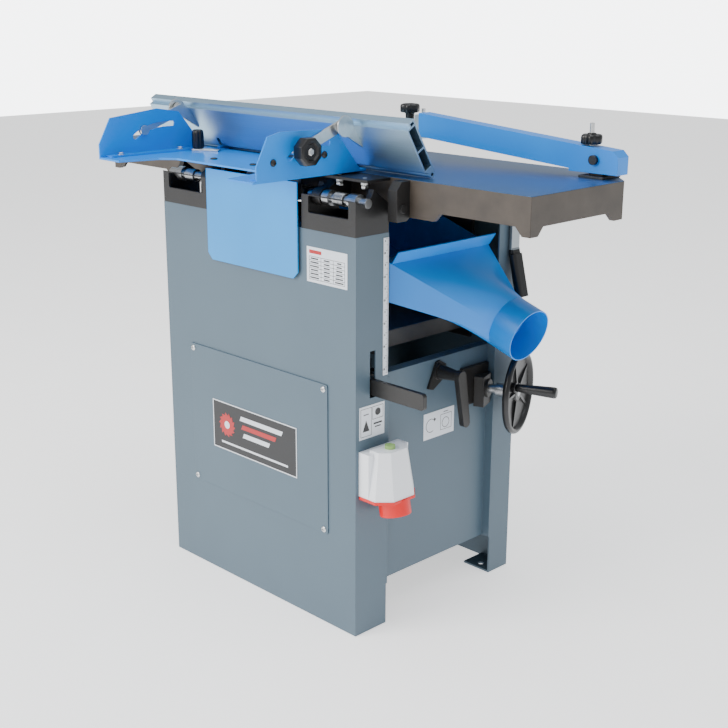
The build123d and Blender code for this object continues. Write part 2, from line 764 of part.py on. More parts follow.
with BuildPart() as tilt_link_discs:
    for x in (CARRIER_X - HALF - 15, CARRIER_X + HALF + 15):
        with Locations((x, LUG_Y, LUG_Z)):
            Cylinder(17.5, 3, rotation=(0, 90, 0))
            Cylinder(4, 3, rotation=(0, 90, 0), mode=Mode.SUBTRACT)
tilt_link_discs.part.label = "tilt_link_discs"

with BuildPart() as tilt_clamp_knob:
    with BuildSketch(Plane.YZ.offset(-215)):
        with Locations((PIN_Y, PIN_Z)):
            RegularPolygon(24, 8)
    extrude(amount=22)
    with BuildSketch(Plane.YZ.offset(-193.4)):
        with Locations((PIN_Y, PIN_Z)):
            Circle(10)
    extrude(amount=4.6)
tilt_clamp_knob.part.label = "tilt_clamp_knob"

# ---------------------------------------------------------------- cutterhead
with BuildPart() as cutterhead:
    with BuildSketch(Plane.XZ.offset(-HEAD_Y1)):
        with Locations((0, HEAD_Z)):
            Circle(34)
            with PolarLocations(34, 3, start_angle=70):
                Rectangle(16, 9, mode=Mode.SUBTRACT)
    extrude(amount=HEAD_Y1 - HEAD_Y0)
    with Locations((0, -3, HEAD_Z)):
        Cylinder(15, 402, rotation=(90, 0, 0))
cutterhead.part.label = "cutterhead"

with BuildPart() as cutterhead_knives:
    with BuildSketch(Plane.XZ.offset(-HEAD_Y1 + 1)):
        with Locations((0, HEAD_Z)):
            with PolarLocations(31, 3, start_angle=70):
                with Locations((0, -3)):
                    Rectangle(9.6, 2.6)
    extrude(amount=HEAD_Y1 - HEAD_Y0 - 2)
cutterhead_knives.part.label = "cutterhead_knives"

with BuildPart() as cutterhead_pulley:
    add(pulley(0, HEAD_Z, HEAD_PULLEY, 15, 199))
    with Locations((0, 190, HEAD_Z)):
        Cylinder(15, 40, rotation=(90, 0, 0), mode=Mode.SUBTRACT)
cutterhead_pulley.part.label = "cutterhead_pulley"


def feed_roller(x):
    """Feed roller with fluted body and two journals."""
    with BuildPart() as roller:
        with BuildSketch(Plane.XZ.offset(-HEAD_Y1)):
            with Locations((x, ROLLER_Z)):
                Circle(ROLLER_R)
                with PolarLocations(ROLLER_R + 0.4, 20):
                    Circle(1.2, mode=Mode.SUBTRACT)
        extrude(amount=HEAD_Y1 - HEAD_Y0)
        with Locations((x, -10, ROLLER_Z)):
            Cylinder(8, 300, rotation=(90, 0, 0))
    return roller.part


with BuildPart() as outfeed_roller:
    add(feed_roller(-ROLLER_X))
outfeed_roller.part.label = "outfeed_roller"

with BuildPart() as infeed_roller:
    add(feed_roller(ROLLER_X))
infeed_roller.part.label = "infeed_roller"

# ---------------------------------------------------------------- thicknesser bed
with BuildPart() as thicknesser_bed:
    mid = (BED_Y0 + BED_Y1) / 2
    with Locations((0, mid, BED_Z - 15)):
        Box(2 * BED_X, BED_Y1 - BED_Y0, 30)
    with Locations((0, mid, BED_Z - 22)):
        Box(2 * BED_X - 16, BED_Y1 - BED_Y0 - 16, 24, mode=Mode.SUBTRACT)
    with Locations((0, mid, BED_Z - 19)):
        Box(2 * BED_X - 10, 6, 18)
    for x in (-120, -50, 50, 120):
        with Locations((x, mid, BED_Z - 19)):
            Box(6, BED_Y1 - BED_Y0 - 10, 18)
    with Locations((0, COLUMN_Y, BED_Z - 32)):
        Cylinder(42, 46)
    with Locations((0, SCREW_Y, 474)):
        Cylinder(18, 92)
    with Locations((0, COLUMN_Y, 490)):
        Cylinder(COLUMN_R, 46, mode=Mode.SUBTRACT)
    with Locations((0, SCREW_Y, 469)):
        Cylinder(10, 96, mode=Mode.SUBTRACT)
    with BuildSketch(Plane.YZ.offset(-224)):
        with BuildLine():
            Polyline((112, 495), (128, 495), (132, 502), (128, 509), (112, 509), (112, 495))
        make_face()
    extrude(amount=20)
thicknesser_bed.part.label = "thicknesser_bed"

with BuildPart() as bed_column:
    with Locations((0, COLUMN_Y, 406.5)):
        Cylinder(COLUMN_R, 213)
        Cylinder(COLUMN_R - 7, 213, mode=Mode.SUBTRACT)
bed_column.part.label = "bed_column"

with BuildPart() as leadscrew:
    with Locations((0, SCREW_Y, 449)):
        Cylinder(9.5, 102)
    for i in range(17):
        with Locations((0, SCREW_Y, 413 + 5 * i)):
            Torus(9.9, 1.1, mode=Mode.SUBTRACT)
leadscrew.part.label = "leadscrew"

# ---------------------------------------------------------------- handwheel
face = Plane(origin=(WHEEL_X, WHEEL_Y, WHEEL_Z), x_dir=(-sin(TURN), cos(TURN), 0), z_dir=SHAFT_DIR)
GRIP_OFF = (37, -20)

with BuildPart() as wheel_blank:
    with BuildSketch(Plane.XZ):
        with BuildLine():
            Polyline((8, -31), (15, -31), (17, -20), (60, -17), (71, -15), (75, -13.5),
                     (WHEEL_R, -10), (WHEEL_R, -5), (75, -1.5), (71, -1.5), (66, -9),
                     (20, -13), (17, -7), (8, -7), (8, -31))
        make_face()
    revolve(axis=Axis.Z)
    with BuildSketch(Plane.XY.offset(-14)):
        with PolarLocations(41, 5):
            Rectangle(52, 6)
    extrude(amount=7)
    with BuildSketch(Plane.XY.offset(-12)):
        with Locations(GRIP_OFF):
            Circle(9)
    extrude(amount=12)
    with BuildSketch(Plane.XY.offset(-12)):
        with Locations(GRIP_OFF):
            Circle(4)
    extrude(amount=70)

with BuildPart() as handwheel:
    with Locations(face.location):
        add(wheel_blank.part)
handwheel.part.label = "handwheel"

with BuildPart() as handwheel_grip:
    with BuildSketch(face.offset(0.5)):
        with Locations(GRIP_OFF):
            Circle(7)
    with BuildSketch(face.offset(70)):
        with Locations(GRIP_OFF):
            Circle(10.5)
    loft()
    with BuildSketch(face.offset(70)):
        with Locations(GRIP_OFF):
            Circle(10.5)
    extrude(amount=6)
    with BuildSketch(face):
        with Locations(GRIP_OFF):
            Circle(4.05)
    extrude(amount=60, mode=Mode.SUBTRACT)
handwheel_grip.part.label = "handwheel_grip"

with BuildPart() as handwheel_shaft:
    with BuildSketch(shaft_plane(-13)):
        Circle(8)
    extrude(amount=(-13 - WHEEL_X) / cos(TURN) - 6)
    with BuildSketch(shaft_plane(-281)):
        Circle(12)
    extrude(amount=15)
handwheel_shaft.part.label = "handwheel_shaft"

# ---------------------------------------------------------------- levers
with BuildPart() as bed_clamp_lever:
    with BuildSketch(Plane.YZ.offset(-254)):
        with Locations(LEVER_PIVOT):
            Circle(13)
    with BuildSketch(Plane.YZ.offset(-304)):
        with Locations(LEVER_PIVOT):
            Circle(8)
    loft()
    with BuildSketch(Plane.YZ.offset(-300)):
        with Locations(LEVER_PIVOT):
            Circle(6)
    extrude(amount=66)
    with BuildSketch(Plane.YZ.offset(-304)):
        with Locations((-10, 443)):
            Circle(10.5)
        with Locations((-25, 354)):
            Circle(8.5)
        make_hull()
    extrude(amount=11)
bed_clamp_lever.part.label = "bed_clamp_lever"

with BuildPart() as feed_lever:
    with Locations((-259, 170, 455)):
        Box(242, 8, 28)
    with Locations((-150, 170, 455)):
        Cylinder(6.05, 20, rotation=(90, 0, 0), mode=Mode.SUBTRACT)
    fillet(feed_lever.edges().filter_by(Axis.Y).group_by(Axis.X)[0], 6)
feed_lever.part.label = "feed_lever"


def lock_lever(side):
    """Table lock lever: stud, hub, flat bar and a round-ended grip."""
    with BuildPart() as lever:
        with BuildSketch(Plane.YZ.offset(side * 262)):
            with Locations((LEVER_Y, 702)):
                Circle(14)
        extrude(amount=side * 12)
        with BuildSketch(Plane.YZ.offset(side * 240)):
            with Locations((LEVER_Y, 702)):
                Circle(5)
        extrude(amount=side * 30)
        with BuildSketch(Plane.YZ.offset(side * 264)):
            with Locations((LEVER_Y, 666)):
                Rectangle(22, 72)
        extrude(amount=side * 6)
        tilt = Plane((side * 270, LEVER_Y, 634), x_dir=(0, 1, 0),
                     z_dir=(side * 0.24, 0, -0.97))
        with BuildSketch(tilt):
            RectangleRounded(27, 17, 7)
        extrude(amount=80)
        with BuildSketch(tilt):
            Rectangle(20, 8)
        extrude(amount=-10)
    return lever.part


with BuildPart() as lock_lever_outfeed:
    add(lock_lever(-1))
lock_lever_outfeed.part.label = "lock_lever_outfeed"

with BuildPart() as lock_lever_infeed:
    add(lock_lever(1))
lock_lever_infeed.part.label = "lock_lever_infeed"

# ---------------------------------------------------------------- dust hood
OUT_X, OUT_Z = -cos(radians(OUTLET_TILT)), -sin(radians(OUTLET_TILT))
COLLAR = 50
HOOD_WIDE = 256
neck = Plane(origin=(OUTLET_END[0] - COLLAR * OUT_X, OUTLET_END[1], OUTLET_END[2] - COLLAR * OUT_Z),
             x_dir=(0, 1, 0), z_dir=(OUT_X, 0, OUT_Z))


def hood_solid(inset):
    """Outer or inner volume of the hood: box under the head, then a converging nose."""
    with BuildPart() as volume:
        with BuildSketch(Plane.XZ.offset(-112 + inset)):
            with BuildLine():
                Polyline((-240, 588 + inset), (-60, 588 + inset), (56 - inset, 640 + inset),
                         (56 - inset, 704 + 8 * inset), (-96, 704 + 8 * inset),
                         (-240, 656 - inset), (-240, 588 + inset))
            make_face()
        extrude(amount=HOOD_WIDE - 2 * inset)
        with BuildSketch(Plane(origin=(-240, -16, 622), x_dir=(0, 1, 0), z_dir=(-1, 0, 0))):
            Rectangle(HOOD_WIDE - 2 * inset, 68 - 2 * inset)
        with BuildSketch(neck):
            Circle(OUTLET_R - inset)
        loft()
    return volume.part


with BuildPart() as dust_hood:
    add(hood_solid(0))
    add(hood_solid(2), mode=Mode.SUBTRACT)
    with BuildSketch(Plane(origin=(-240.5, -19, 655), x_dir=(0, 1, 0),
                           z_dir=(-0.82, 0, -0.57))):
        with Locations((0, -13)):
            Rectangle(HOOD_WIDE - 2, 26)
    extrude(amount=2)
dust_hood.part.label = "dust_hood"

with BuildPart() as hood_outlet:
    with BuildSketch(neck):
        Circle(OUTLET_R)
        Circle(OUTLET_R - 2, mode=Mode.SUBTRACT)
    extrude(amount=COLLAR)
hood_outlet.part.label = "hood_outlet"

ALL = [rear_side_panel, front_side_panel, end_panel_outfeed, end_panel_infeed, motor_cover,
       cover_screws, label_plates, thickness_scale, hinge_castings, hinge_rods, torsion_springs,
       rear_guard_flap, side_frames, bearing_housings, shaft_housings, column_guide, motor_body,
       drive_belt, motor_rotor, inlet_housing, inlet_shroud, inlet_cap, outfeed_table,
       infeed_table, outfeed_hinge_arms, infeed_hinge_arms, outfeed_stop_screws,
       infeed_stop_screws, guard_post, guard_beam, guard_end_plate, guard_height_knob,
       guard_clamp_knob, guard_slat, fence_carrier, carrier_brackets, carrier_bolts,
       carrier_clamp_knob, fence_profile, fence_lugs, tilt_links, tilt_link_discs,
       tilt_clamp_knob, cutterhead, cutterhead_knives, cutterhead_pulley, outfeed_roller,
       infeed_roller, thicknesser_bed, bed_column, leadscrew, handwheel, handwheel_grip,
       handwheel_shaft, bed_clamp_lever, feed_lever, lock_lever_outfeed, lock_lever_infeed,
       dust_hood, hood_outlet]
for node in ALL:
    export_step(node.part, "parts/" + node.part.label + ".step")
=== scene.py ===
import bpy, math
from mathutils import Vector, Matrix, Euler


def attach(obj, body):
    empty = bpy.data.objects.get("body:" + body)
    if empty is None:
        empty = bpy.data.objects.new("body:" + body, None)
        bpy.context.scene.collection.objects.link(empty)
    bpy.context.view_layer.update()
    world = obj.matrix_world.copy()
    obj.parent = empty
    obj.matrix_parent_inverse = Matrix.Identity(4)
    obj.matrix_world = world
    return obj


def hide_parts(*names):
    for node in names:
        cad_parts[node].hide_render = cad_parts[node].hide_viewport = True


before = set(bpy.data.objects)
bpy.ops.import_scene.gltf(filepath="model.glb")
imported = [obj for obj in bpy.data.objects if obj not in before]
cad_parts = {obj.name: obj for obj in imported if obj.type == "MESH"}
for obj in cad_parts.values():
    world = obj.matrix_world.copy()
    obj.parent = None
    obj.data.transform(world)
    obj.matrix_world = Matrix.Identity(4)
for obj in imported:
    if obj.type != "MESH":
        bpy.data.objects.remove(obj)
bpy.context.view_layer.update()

# ---------------------------------------------------------------- camera
AZ, EL, ROLL = math.radians(225.34), math.radians(16.62), math.radians(0.2)
cam_data = bpy.data.cameras.new("camera")
cam_data.lens, cam_data.sensor_width = 61.05, 36
cam = bpy.data.objects.new("camera", cam_data)
bpy.context.scene.collection.objects.link(cam)
cam.location = (-1.6598, 1.5744, 1.0870)
look = -Vector((math.sin(AZ) * math.cos(EL), -math.cos(AZ) * math.cos(EL), math.sin(EL)))
turn = look.to_track_quat("-Z", "Y").to_matrix() @ Matrix.Rotation(ROLL, 3, "Z")
cam.rotation_euler = turn.to_euler()
bpy.context.scene.camera = cam


# ---------------------------------------------------------------- materials
GROUND_TABLE, GROUND_BED = 0.8035, 0.5248      # heights above which the castings are ground
SLEEVE_TOP = 0.6425                            # top of the lock levers' black sleeves


class Look:
    """A node material under construction."""

    def __init__(self, name):
        self.mat = bpy.data.materials.new(name)
        self.mat.use_nodes = True
        self.tree = self.mat.node_tree
        self.bsdf = self.tree.nodes["Principled BSDF"]
        self.coord = self.tree.nodes.new("ShaderNodeTexCoord").outputs["Object"]

    def add(self, kind, **inputs):
        node = self.tree.nodes.new(kind)
        for key, value in inputs.items():
            self.put(node.inputs[key.replace("_", " ")], value)
        return node

    def put(self, socket, value):
        if isinstance(value, bpy.types.NodeSocket):
            self.tree.links.new(value, socket)
        else:
            socket.default_value = value

    def noise(self, scale, detail=3, stretch=None):
        source = self.coord
        if stretch:
            source = self.add("ShaderNodeMapping", Vector=self.coord, Scale=stretch).outputs[0]
        return self.add("ShaderNodeTexNoise", Vector=source, Scale=scale,
                        Detail=detail).outputs["Fac"]

    def ramp(self, fac, low, high, a=0.35, b=0.65):
        node = self.add("ShaderNodeValToRGB", Fac=fac)
        node.color_ramp.elements[0].position, node.color_ramp.elements[1].position = a, b
        node.color_ramp.elements[0].color, node.color_ramp.elements[1].color = low, high
        return node.outputs[0]

    def axis(self, index, source=None):
        return self.add("ShaderNodeSeparateXYZ", Vector=source or self.coord).outputs[index]

    def math(self, op, a, b=0.0):
        node = self.tree.nodes.new("ShaderNodeMath")
        node.operation = op
        self.put(node.inputs[0], a)
        self.put(node.inputs[1], b)
        return node.outputs[0]

    def mix(self, fac, a, b):
        node = self.tree.nodes.new("ShaderNodeMix")
        node.data_type = "RGBA"
        self.put(node.inputs["Factor"], fac)
        self.put(node.inputs["A"], a)
        self.put(node.inputs["B"], b)
        return node.outputs["Result"]

    def blend(self, fac, a, b):
        node = self.tree.nodes.new("ShaderNodeMix")
        node.data_type = "FLOAT"
        self.put(node.inputs["Factor"], fac)
        self.put(node.inputs["A"], a)
        self.put(node.inputs["B"], b)
        return node.outputs["Result"]

    def finish(self, color, rough, metal=0.0, bump=None, depth=0.0003, edge=0.0008, coat=0.0):
        self.put(self.bsdf.inputs["Base Color"], color)
        self.put(self.bsdf.inputs["Roughness"], rough)
        self.put(self.bsdf.inputs["Metallic"], metal)
        self.put(self.bsdf.inputs["Coat Weight"], coat)
        normal = self.add("ShaderNodeBevel", Radius=edge).outputs[0]
        if bump is not None:
            normal = self.add("ShaderNodeBump", Height=bump, Distance=depth, Strength=0.6,
                              Normal=normal).outputs[0]
        self.put(self.bsdf.inputs["Normal"], normal)
        return self.mat


def rgb(r, g, b):
    """Display colour (0-255) as linear rgba."""
    f = lambda v: ((v / 255 + 0.055) / 1.055) ** 2.4 if v > 10 else v / 255 / 12.92
    return (f(r), f(g), f(b), 1)


def paint(name, low, high, rough=0.38, grain=900, depth=0.00012, coat=0.0, edge=0.001):
    k = Look(name)
    cloud = k.noise(6, 2)
    return k.finish(k.ramp(cloud, low, high, 0.3, 0.7), k.blend(cloud, rough - 0.04, rough + 0.06),
                    0.0, k.noise(grain, 2), depth, edge, coat)


def metal(name, low, high, rough, stretch=(1, 1, 1), scale=300, depth=0.00005):
    k = Look(name)
    line = k.noise(scale, 4, stretch)
    return k.finish(k.ramp(line, low, high, 0.3, 0.7), k.blend(line, rough, rough + 0.12), 1.0,
                    line, depth, 0.0006)


GREY = paint("grey_powder", rgb(80, 100, 114), rgb(85, 105, 119), 0.45, 1400, 0.00010)
BLUE = paint("blue_gloss", rgb(0, 132, 228), rgb(2, 140, 236), 0.30, 500, 0.00003, 0.05)
FLAP = paint("flap_blue", rgb(8, 142, 218), rgb(14, 150, 226), 0.34, 500, 0.00003, 0.05)
CAST = paint("black_cast", rgb(20, 20, 21), rgb(38, 36, 34), 0.40, 700, 0.0004, 0.0, 0.0015)
STEEL = metal("steel", rgb(150, 152, 154), rgb(190, 192, 194), 0.25, (1, 30, 1), 60)
ZINC = metal("zinc", rgb(206, 208, 208), rgb(220, 221, 220), 0.26, (1, 1, 1), 40)
# painted reflection: the aluminium is tinted blue to stand in for the sky it reflects
ALLOY = metal("alloy", rgb(158, 188, 210), rgb(172, 200, 220), 0.36, (0.4, 60, 60), 30)
MOTOR = paint("motor_paint", rgb(60, 66, 70), rgb(72, 78, 82), 0.5, 500, 0.0003)
BLACK = paint("black_plastic", rgb(10, 10, 12), rgb(17, 17, 19), 0.32, 300, 0.00003, 0.05)
WHITE = paint("white_plastic", rgb(244, 247, 252), rgb(248, 251, 255), 0.4, 600, 0.00004)
RED = paint("red_plastic", rgb(224, 10, 6), rgb(236, 18, 10), 0.36, 400, 0.00004, 0.0)
GREEN = paint("green_plastic", rgb(150, 190, 110), rgb(165, 200, 125), 0.5, 400, 0.00004)
BELT = paint("belt", rgb(18, 18, 18), rgb(28, 28, 28), 0.7, 300, 0.0003)
FILM = paint("film", rgb(224, 229, 236), rgb(230, 235, 242), 0.35, 200, 0.00002, 0.0, 0.0002)
INK = paint("ink", rgb(20, 20, 22), rgb(30, 30, 32), 0.35, 200, 0.00002, 0.0, 0.0002)
INK_RED = paint("ink_red", rgb(176, 22, 28), rgb(190, 30, 34), 0.35, 200, 0.00002, 0.0, 0.0002)


def table_look():
    """Ground plate above, tinted blue as a painted reflection of the surroundings; black casting
    with a brownish sheen below.
    """
    k = Look("table_cast")
    top = k.math("GREATER_THAN", k.axis(2), GROUND_TABLE)
    line = k.noise(40, 4, (1, 70, 1))
    # painted reflection: the ground top gets a blue colour standing in for the surroundings it
    # reflects
    ground = k.ramp(line, rgb(46, 98, 148), rgb(58, 112, 162), 0.3, 0.7)
    dark = k.ramp(k.noise(30, 5), rgb(58, 51, 45), rgb(74, 66, 58), 0.25, 0.75)
    return k.finish(k.mix(top, dark, ground), k.blend(top, 0.42, 0.3), k.blend(top, 0.0, 0.9),
                    k.noise(600, 3), 0.0001, 0.002)


def bed_look():
    k = Look("bed_cast")
    top = k.math("GREATER_THAN", k.axis(2), GROUND_BED)
    dark = k.ramp(k.noise(30, 5), rgb(18, 18, 19), rgb(34, 32, 30), 0.3, 0.7)
    ground = k.ramp(k.noise(40, 4, (70, 1, 1)), rgb(70, 80, 90), rgb(96, 106, 116), 0.3, 0.7)
    return k.finish(k.mix(top, dark, ground), 0.38, k.blend(top, 0.0, 0.8),
                    k.noise(600, 3), 0.0001, 0.0015)


def lever_look():
    """Grey steel bar with a black sleeve on its lower part."""
    k = Look("lock_lever")
    low = k.math("LESS_THAN", k.axis(2), SLEEVE_TOP)
    color = k.mix(low, rgb(150, 158, 164), rgb(17, 17, 18))
    return k.finish(color, k.blend(low, 0.3, 0.32), k.blend(low, 0.9, 0.0), k.noise(400, 3),
                    0.0001, 0.0015)


TABLE, BED, LEVER = table_look(), bed_look(), lever_look()
LOOKS = {
    GREY: "rear_side_panel front_side_panel end_panel_outfeed end_panel_infeed motor_cover",
    FLAP: "rear_guard_flap",
    BLUE: "fence_carrier carrier_brackets dust_hood hood_outlet guard_beam",
    CAST: "hinge_castings shaft_housings outfeed_hinge_arms infeed_hinge_arms feed_lever "
          "bearing_housings guard_post side_frames column_guide bed_clamp_lever",
    TABLE: "outfeed_table infeed_table", BED: "thicknesser_bed",
    LEVER: "lock_lever_outfeed lock_lever_infeed",
    STEEL: "hinge_rods cutterhead cutterhead_knives cutterhead_pulley outfeed_roller "
           "infeed_roller bed_column leadscrew handwheel_shaft motor_rotor torsion_springs",
    ZINC: "cover_screws outfeed_stop_screws infeed_stop_screws guard_end_plate carrier_bolts "
          "tilt_link_discs tilt_links fence_lugs",
    ALLOY: "fence_profile guard_slat thickness_scale",
    BLACK: "handwheel handwheel_grip guard_height_knob guard_clamp_knob carrier_clamp_knob "
           "tilt_clamp_knob",
    WHITE: "inlet_housing", RED: "inlet_shroud", GREEN: "inlet_cap", FILM: "label_plates",
    BELT: "drive_belt", MOTOR: "motor_body",
}
for mat, nodes in LOOKS.items():
    for name in nodes.split():
        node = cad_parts[name]
        node.data.materials.clear()
        node.data.materials.append(mat)


# ---------------------------------------------------------------- mesh helpers
def mesh(name, verts, faces, mats, body, face_mats=None, smooth=False):
    data = bpy.data.meshes.new(name)
    data.from_pydata([tuple(v) for v in verts], [], faces)
    for m in mats:
        data.materials.append(m)
    if face_mats:
        for poly, index in zip(data.polygons, face_mats):
            poly.material_index = index
    if smooth:
        data.shade_smooth()
    obj = bpy.data.objects.new(name, data)
    bpy.context.scene.collection.objects.link(obj)
    if body:
        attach(obj, body)
    return obj


class Build:
    """Collects lofts, prisms and turned shapes into one mesh with several materials."""

    def __init__(self):
        self.v, self.f, self.m = [], [], []

    def take(self, verts, faces, mat):
        base = len(self.v)
        self.v += [Vector(p) for p in verts]
        self.f += [[base + i for i in f] for f in faces]
        self.m += [mat] * len(faces)

    def turned(self, profile, place, mat=0, n=48):
        """Revolves (radius, height) pairs about local Z and closes both ends."""
        v, f = [], []
        for r, h in profile:
            for i in range(n):
                a = 2 * math.pi * i / n
                v.append(place @ Vector((r * math.cos(a), r * math.sin(a), h)))
        for k in range(len(profile) - 1):
            for i in range(n):
                j = (i + 1) % n
                f.append((k * n + i, k * n + j, (k + 1) * n + j, (k + 1) * n + i))
        f.append(tuple(range(n - 1, -1, -1)))
        f.append(tuple((len(profile) - 1) * n + i for i in range(n)))
        self.take(v, f, mat)

    def loft(self, outline, profile, place, mat=0):
        """Stacks a unit outline at (scale, height) steps along local Z and closes both ends."""
        n = len(outline)
        v = [place @ Vector((x * s, y * s, h)) for s, h in profile for x, y in outline]
        f = [(k * n + i, k * n + (i + 1) % n, (k + 1) * n + (i + 1) % n, (k + 1) * n + i)
             for k in range(len(profile) - 1) for i in range(n)]
        f.append(tuple(range(n - 1, -1, -1)))
        f.append(tuple((len(profile) - 1) * n + i for i in range(n)))
        self.take(v, f, mat)

    def prism(self, outline, low, high, place, mat=0, round_=0.0):
        """Extrudes a flat outline, with small chamfers at both ends."""
        n = len(outline)
        cx = sum(p[0] for p in outline) / n
        cy = sum(p[1] for p in outline) / n
        size = max(math.hypot(p[0] - cx, p[1] - cy) for p in outline)
        rings = [(low, 1 - round_ / size), (low + round_, 1), (high - round_, 1),
                 (high, 1 - round_ / size)] if round_ else [(low, 1), (high, 1)]
        v = [place @ Vector((cx + (x - cx) * s, cy + (y - cy) * s, h))
             for h, s in rings for x, y in outline]
        f = []
        for k in range(len(rings) - 1):
            for i in range(n):
                j = (i + 1) % n
                f.append((k * n + i, k * n + j, (k + 1) * n + j, (k + 1) * n + i))
        f.append(tuple(range(n - 1, -1, -1)))
        f.append(tuple((len(rings) - 1) * n + i for i in range(n)))
        self.take(v, f, mat)

    def make(self, name, mats, body, smooth=False, bevel=0.0):
        obj = mesh(name, self.v, self.f, mats, body, self.m)
        if bevel:
            mod = obj.modifiers.new("edges", "BEVEL")
            mod.width, mod.segments, mod.limit_method = bevel, 2, "ANGLE"
        if smooth:
            obj.data.shade_smooth()
            obj.data.set_sharp_from_angle(angle=math.radians(35))
        return obj


def at(x, y, z, rx=0, ry=0, rz=0):
    return (Matrix.Translation((x, y, z))
            @ Euler((math.radians(rx), math.radians(ry), math.radians(rz))).to_matrix().to_4x4())


# ---------------------------------------------------------------- labels and scale
def on_rear(x, z, y):
    """Places local XY drawing on a face that looks to +Y (local X runs to -X)."""
    return at(x, y, z) @ Matrix(((-1, 0, 0, 0), (0, 0, 1, 0), (0, 1, 0, 0), (0, 0, 0, 1)))


def on_end(x, y, z):
    """Places local XY drawing on a face that looks to -X (local X runs to -Y)."""
    return at(x, y, z) @ Matrix(((0, 0, -1, 0), (-1, 0, 0, 0), (0, 1, 0, 0), (0, 0, 0, 1)))


def rect(w, h, cx=0.0, cy=0.0):
    return [(cx - w / 2, cy - h / 2), (cx + w / 2, cy - h / 2), (cx + w / 2, cy + h / 2),
            (cx - w / 2, cy + h / 2)]


def frame_lines(b, w, h, t, low, high, place, mat, cx=0.0, cy=0.0):
    for dx, dy, sw, sh in ((0, h / 2 - t / 2, w, t), (0, t / 2 - h / 2, w, t),
                           (w / 2 - t / 2, 0, t, h - 2 * t), (t / 2 - w / 2, 0, t, h - 2 * t)):
        b.prism(rect(sw, sh, cx + dx, cy + dy), low, high, place, mat)


def star(n, r0, r1, cx=0.0, cy=0.0, skew=0.5):
    """Saw-blade outline: n hooked teeth."""
    pts = []
    for i in range(n):
        a = 2 * math.pi * i / n
        pts += [(cx + r1 * math.cos(a), cy + r1 * math.sin(a)),
                (cx + r0 * math.cos(a + skew / n), cy + r0 * math.sin(a + skew / n))]
    return pts


b = Build()
nb = on_rear(0.007, 0.306, 0.212)
b.prism(rect(0.239, 0.095), 0, 0.0004, nb, 0)
frame_lines(b, 0.239, 0.095, 0.002, 0.0004, 0.0006, nb, 1)
b.prism(star(14, 0.019, 0.024, -0.078, 0.004), 0.0004, 0.00065, nb, 2)
b.prism(star(24, 0.0075, 0.0075, -0.078, 0.004), 0.00065, 0.0007, nb, 1)
for i, w in enumerate((0.118, 0.100, 0.082)):
    b.prism([(-0.040 + 0.004 * i, 0.022 - 0.016 * i), (-0.040 + w, 0.022 - 0.016 * i),
             (-0.036 + w, 0.031 - 0.016 * i), (-0.036 + 0.004 * i, 0.031 - 0.016 * i)],
            0.0004, 0.00065, nb, 1 if i != 1 else 2)
b.prism(rect(0.19, 0.004, 0.0, -0.032), 0.0004, 0.00065, nb, 1)
b.make("nameplate_face", [INK, FILM, INK_RED], "base")

b = Build()
rb = on_rear(-0.191, 0.655, 0.210)
b.prism(rect(0.098, 0.060), 0, 0.0004, rb, 0)
b.prism(rect(0.030, 0.006, -0.028, 0.022), 0.0004, 0.0006, rb, 2)
for i in range(7):
    b.prism(rect(0.086, 0.0006, 0, 0.014 - 0.0065 * i), 0.0004, 0.0006, rb, 1)
    if i < 6:
        for cx, w in ((-0.030, 0.018 + 0.002 * (i % 3)), (0.0, 0.014), (0.030, 0.010 + 0.002 * i)):
            b.prism(rect(w, 0.0022, cx, 0.0107 - 0.0065 * i), 0.0004, 0.00055, rb, 1)
for cx in (-0.043, -0.014, 0.016, 0.043):
    b.prism(rect(0.0006, 0.039, cx, -0.0055), 0.0004, 0.0006, rb, 1)
b.make("rating_face", [FILM, INK, INK_RED], "base")


def arc(cx, cy, r, a0, a1, t, n=14):
    pts = [(cx + r * math.cos(math.radians(a0 + (a1 - a0) * i / n)),
            cy + r * math.sin(math.radians(a0 + (a1 - a0) * i / n))) for i in range(n + 1)]
    back = [(cx + (r - t) * math.cos(math.radians(a1 - (a1 - a0) * i / n)),
             cy + (r - t) * math.sin(math.radians(a1 - (a1 - a0) * i / n))) for i in range(n + 1)]
    return pts + back


b = Build()
lb = on_end(-0.260, 0.172, 0.395)
b.prism(rect(0.060, 0.058), 0, 0.0004, lb, 0)
frame_lines(b, 0.026, 0.050, 0.0007, 0.0004, 0.0006, lb, 1, -0.014, 0)
frame_lines(b, 0.026, 0.023, 0.0007, 0.0004, 0.0006, lb, 1, 0.014, 0.0135)
b.prism(star(20, 0.006, 0.0072, 0.014, 0.014), 0.0004, 0.0006, lb, 1)
b.prism(rect(0.020, 0.003, 0.014, -0.006), 0.0004, 0.0006, lb, 1)
b.prism(rect(0.014, 0.002, 0.014, -0.012), 0.0004, 0.0006, lb, 1)
b.prism([(-0.022, -0.016), (-0.006, -0.016), (-0.014, 0.004)], 0.0004, 0.0006, lb, 1)
b.prism(rect(0.012, 0.0015, -0.014, 0.014), 0.0004, 0.0006, lb, 1)
b.make("leg_label_face", [FILM, INK], "base")

b = Build()
pb = on_end(-0.242, -0.019, 0.340)
b.prism(rect(0.082, 0.050), 0, 0.0004, pb, 0)
b.prism(arc(-0.022, 0, 0.013, 40, 300, 0.0011), 0.0004, 0.0006, pb, 1)
b.prism([(-0.013, 0.006), (-0.008, 0.010), (-0.014, 0.014)], 0.0004, 0.0006, pb, 1)
b.prism(arc(0.018, -0.002, 0.010, 0, 359, 0.0010), 0.0004, 0.0006, pb, 1)
frame_lines(b, 0.030, 0.030, 0.0007, 0.0004, 0.0006, pb, 1, 0.019, 0.0)
b.prism(rect(0.012, 0.0012, 0.018, 0.019), 0.0004, 0.0006, pb, 1)
b.make("panel_label_face", [FILM, INK], "base")
for name in ("nameplate_face", "rating_face", "leg_label_face", "panel_label_face"):
    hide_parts("label_plates")

